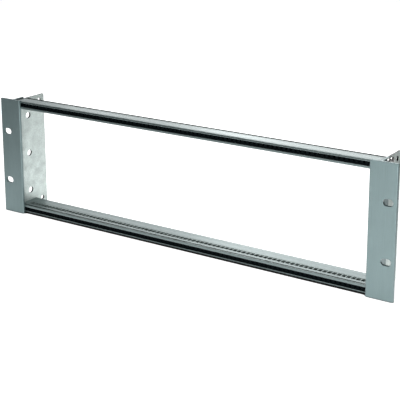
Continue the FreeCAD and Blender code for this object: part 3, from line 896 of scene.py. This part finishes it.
def add_pan_screws(sizes, material, kind):
    """The pan-head screws in the rails' front or back channels, two to a side."""
    low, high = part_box(f"left_{kind}_rail_screws")
    seat = low.x + sizes.head_height
    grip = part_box("top_rail")[0].x - seat
    screw = build_pan_screw(sizes, grip, high.x - seat - grip)
    give(screw, material)
    for side, turn in (("left", 0.0), ("right", 180.0)):
        around = Matrix.Rotation(math.radians(turn), 4, "Z")
        spots = []
        for up, degrees in zip((1, -1), PAN_TURNS):
            quarter = Matrix.Rotation(math.radians(degrees), 4, "X")
            place = (0.0, (low.y + high.y) / 2, up * (high.z - sizes.head_diameter / 2))
            spots.append(
                Matrix.Translation(place) @ around @ Matrix.Translation((seat, 0.0, 0.0)) @ quarter)
        node = f"{side}_{kind}_rail_screws"
        piece = place_copies(screw, f"{side}_{kind}_pan_screws", spots)
        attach(piece, "root")
        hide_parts(node)
    bpy.data.objects.remove(screw, do_unlink=True)


class SUBRACK_OT_screws(Operator):
    """Model the screws with their cross recess and thread, and zinc them"""
    bl_idname = "subrack.screws"
    bl_label = "Add screws"

    def execute(self, context):
        material = screw_material(context.scene.subrack_finishes)
        sizes = context.scene.subrack_screws
        add_sunk_screws(sizes, material)
        for kind in ("front", "back"):
            add_pan_screws(sizes, material, kind)
        return {"FINISHED"}


# How much open sky a spot of floor has where it begins to count as open, and where it fully does.
OPEN_FLOOR = (0.45, 0.7)
# Colour of the floor right under the object, as a share of its own.
CONTACT_SHADE = 0.05
# What the floor adds for the camera. The light that falls on it makes up the rest to white.
FLOOR_GLOW = 0.92


def white_to_camera(material, studio):
    """A matt floor that looks white to the camera, and round the object also in metal. It keeps
    a soft shadow, and darkens where the object nearly touches it."""
    tree = material.node_tree
    shader = tree.nodes["Principled BSDF"]
    shader.inputs["Roughness"].default_value = 0.9
    shader.inputs["Specular IOR Level"].default_value = 0.1
    near = tree.nodes.new("ShaderNodeAmbientOcclusion")
    near.inputs["Distance"].default_value = studio.contact
    spread = tree.nodes.new("ShaderNodeMapRange")
    spread.inputs["From Min"].default_value, spread.inputs["From Max"].default_value = OPEN_FLOOR
    tree.links.new(near.outputs["AO"], spread.inputs["Value"])
    open_floor = spread.outputs[0]
    bare = blend_colours(
        tree, open_floor, shade(studio.floor_colour, CONTACT_SHADE), tuple(studio.floor_colour))
    tree.links.new(bare, shader.inputs["Base Color"])
    seen = blend_values(tree, open_floor, low=0.0, high=FLOOR_GLOW)
    place = tree.nodes.new("ShaderNodeTexCoord")
    reach = tree.nodes.new("ShaderNodeVectorMath")
    reach.operation = "LENGTH"
    tree.links.new(place.outputs["Object"], reach.inputs[0])
    mirrored = tree.nodes.new("ShaderNodeMapRange")
    mirrored.interpolation_type = "SMOOTHSTEP"
    full, none = studio.white_reach
    for label, value in (("From Min", full), ("From Max", none), ("To Min", 1.0), ("To Max", 0.0)):
        mirrored.inputs[label].default_value = value
    tree.links.new(reach.outputs["Value"], mirrored.inputs["Value"])
    shining = calculate(tree, "MULTIPLY", mirrored.outputs[0], open_floor)
    rays = tree.nodes.new("ShaderNodeLightPath")
    level = 0.0
    for ray, share in (
            ("Is Camera Ray", seen), ("Is Glossy Ray", shining), ("Is Transmission Ray", shining)):
        level = calculate(tree, "MULTIPLY_ADD", rays.outputs[ray], share, level)
    glow = tree.nodes.new("ShaderNodeEmission")
    tree.links.new(level, glow.inputs["Strength"])
    both = tree.nodes.new("ShaderNodeAddShader")
    tree.links.new(shader.outputs[0], both.inputs[0])
    tree.links.new(glow.outputs[0], both.inputs[1])
    tree.links.new(both.outputs[0], tree.nodes["Material Output"].inputs["Surface"])


# Place in metres, width and height of the soft boxes in front and overhead.
KEY_BOX = ((0.42, -0.72, 0.05), 0.6, 0.2)
TOP_BOX = ((0.1, 0.1, 1.2), 1.0, 0.8)
# The row of soft boxes behind, from left to right: place along X, width and share of the power.
# They share one depth, one level and one height.
BACK_ROW = ((-1.15, 0.5, 0.17), (-0.72, 0.45, 0.28), (-0.33, 0.52, 0.55))
BACK_DEPTH, BACK_LEVEL, BACK_HEIGHT = 1.0, 0.4, 0.5


def add_soft_box(name, place, width, height, power):
    """A rectangular lamp that faces the middle of the object and that the camera doesn't see."""
    data = bpy.data.lights.new(name, "AREA")
    data.shape = "RECTANGLE"
    data.size = width
    data.size_y = height
    data.energy = power
    lamp = bpy.data.objects.new(name, data)
    bpy.context.collection.objects.link(lamp)
    lamp.location = place
    lamp.visible_camera = False
    lamp.rotation_euler = (-Vector(place)).to_track_quat("-Z", "Y").to_euler()


def add_surround(scene, strength):
    """An even, faintly cool light all round, which looks white to the camera."""
    world = bpy.data.worlds.new("Studio surround")
    world.use_nodes = True
    scene.world = world
    tree = world.node_tree
    back = tree.nodes["Background"]
    back.inputs["Color"].default_value = (0.96, 0.98, 1.0, 1.0)
    back.inputs["Strength"].default_value = strength
    white = tree.nodes.new("ShaderNodeBackground")
    white.inputs["Color"].default_value = (1.0, 1.0, 1.0, 1.0)
    rays = tree.nodes.new("ShaderNodeLightPath")
    choice = tree.nodes.new("ShaderNodeMixShader")
    tree.links.new(rays.outputs["Is Camera Ray"], choice.inputs["Fac"])
    tree.links.new(back.outputs[0], choice.inputs[1])
    tree.links.new(white.outputs[0], choice.inputs[2])
    tree.links.new(choice.outputs[0], tree.nodes["World Output"].inputs["Surface"])


def add_camera(scene, studio):
    """A camera with a shifted lens, like the one that took the photo."""
    data = bpy.data.cameras.new("Camera")
    data.sensor_width = 36.0
    data.lens = studio.lens
    data.shift_x = studio.shift_across
    data.shift_y = studio.shift_up
    data.clip_start = 0.01
    camera = bpy.data.objects.new("Camera", data)
    bpy.context.collection.objects.link(camera)
    camera.location = studio.camera_place
    camera.rotation_euler = (math.radians(90) - studio.camera_pitch, 0.0, studio.camera_yaw)
    scene.camera = camera


class SUBRACK_OT_studio(Operator):
    """Set up the floor, the soft boxes, the surround and the camera"""
    bl_idname = "subrack.studio"
    bl_label = "Add studio"

    def execute(self, context):
        studio = context.scene.subrack_studio
        deselect_all()
        bpy.ops.mesh.primitive_plane_add(size=12.0, location=(0.0, 0.0, FLOOR_LEVEL))
        floor = bpy.context.object
        floor.name = "studio_floor"
        material = bpy.data.materials.new("Floor, pale")
        material.use_nodes = True
        white_to_camera(material, studio)
        floor.data.materials.append(material)

        add_soft_box("Key soft box", *KEY_BOX, studio.key_power)
        add_soft_box("Top soft box", *TOP_BOX, studio.top_power)
        for index, (across, width, share) in enumerate(BACK_ROW):
            add_soft_box(
                f"Back soft box {index + 1}", (across, BACK_DEPTH, BACK_LEVEL), width, BACK_HEIGHT,
                studio.back_power * share)
        add_surround(context.scene, studio.world_strength)
        add_camera(context.scene, studio)
        context.scene.view_settings.view_transform = "Standard"
        return {"FINISHED"}


class SUBRACK_PT_sidebar(Panel):
    bl_idname = "SUBRACK_PT_sidebar"
    bl_label = "Subrack frame"
    bl_space_type = "VIEW_3D"
    bl_region_type = "UI"
    bl_category = "Subrack"

    def draw(self, context):
        scene = context.scene
        for group, kind in SETTINGS:
            box = self.layout.box()
            for name in kind.__annotations__:
                box.prop(getattr(scene, group), name)
        for step in STEPS:
            self.layout.operator(step.bl_idname)


SETTINGS = (
    ("subrack_finishes", SubrackFinishes),
    ("subrack_edges", SubrackEdges),
    ("subrack_strips", SubrackStrips),
    ("subrack_screws", SubrackScrews),
    ("subrack_studio", SubrackStudio),
)
STEPS = (
    SUBRACK_OT_flanges,
    SUBRACK_OT_plates,
    SUBRACK_OT_rails,
    SUBRACK_OT_strips,
    SUBRACK_OT_screws,
    SUBRACK_OT_studio,
)


def register():
    for name, group in SETTINGS:
        bpy.utils.register_class(group)
        setattr(bpy.types.Scene, name, PointerProperty(type=group))
    for step in STEPS:
        bpy.utils.register_class(step)
    bpy.utils.register_class(SUBRACK_PT_sidebar)


def unregister():
    bpy.utils.unregister_class(SUBRACK_PT_sidebar)
    for step in reversed(STEPS):
        bpy.utils.unregister_class(step)
    for name, group in reversed(SETTINGS):
        delattr(bpy.types.Scene, name)
        bpy.utils.unregister_class(group)


def main():
    register()
    bpy.ops.subrack.flanges()
    bpy.ops.subrack.plates()
    bpy.ops.subrack.rails()
    bpy.ops.subrack.strips()
    bpy.ops.subrack.screws()
    bpy.ops.subrack.studio()


if __name__ == "__main__":
    main()
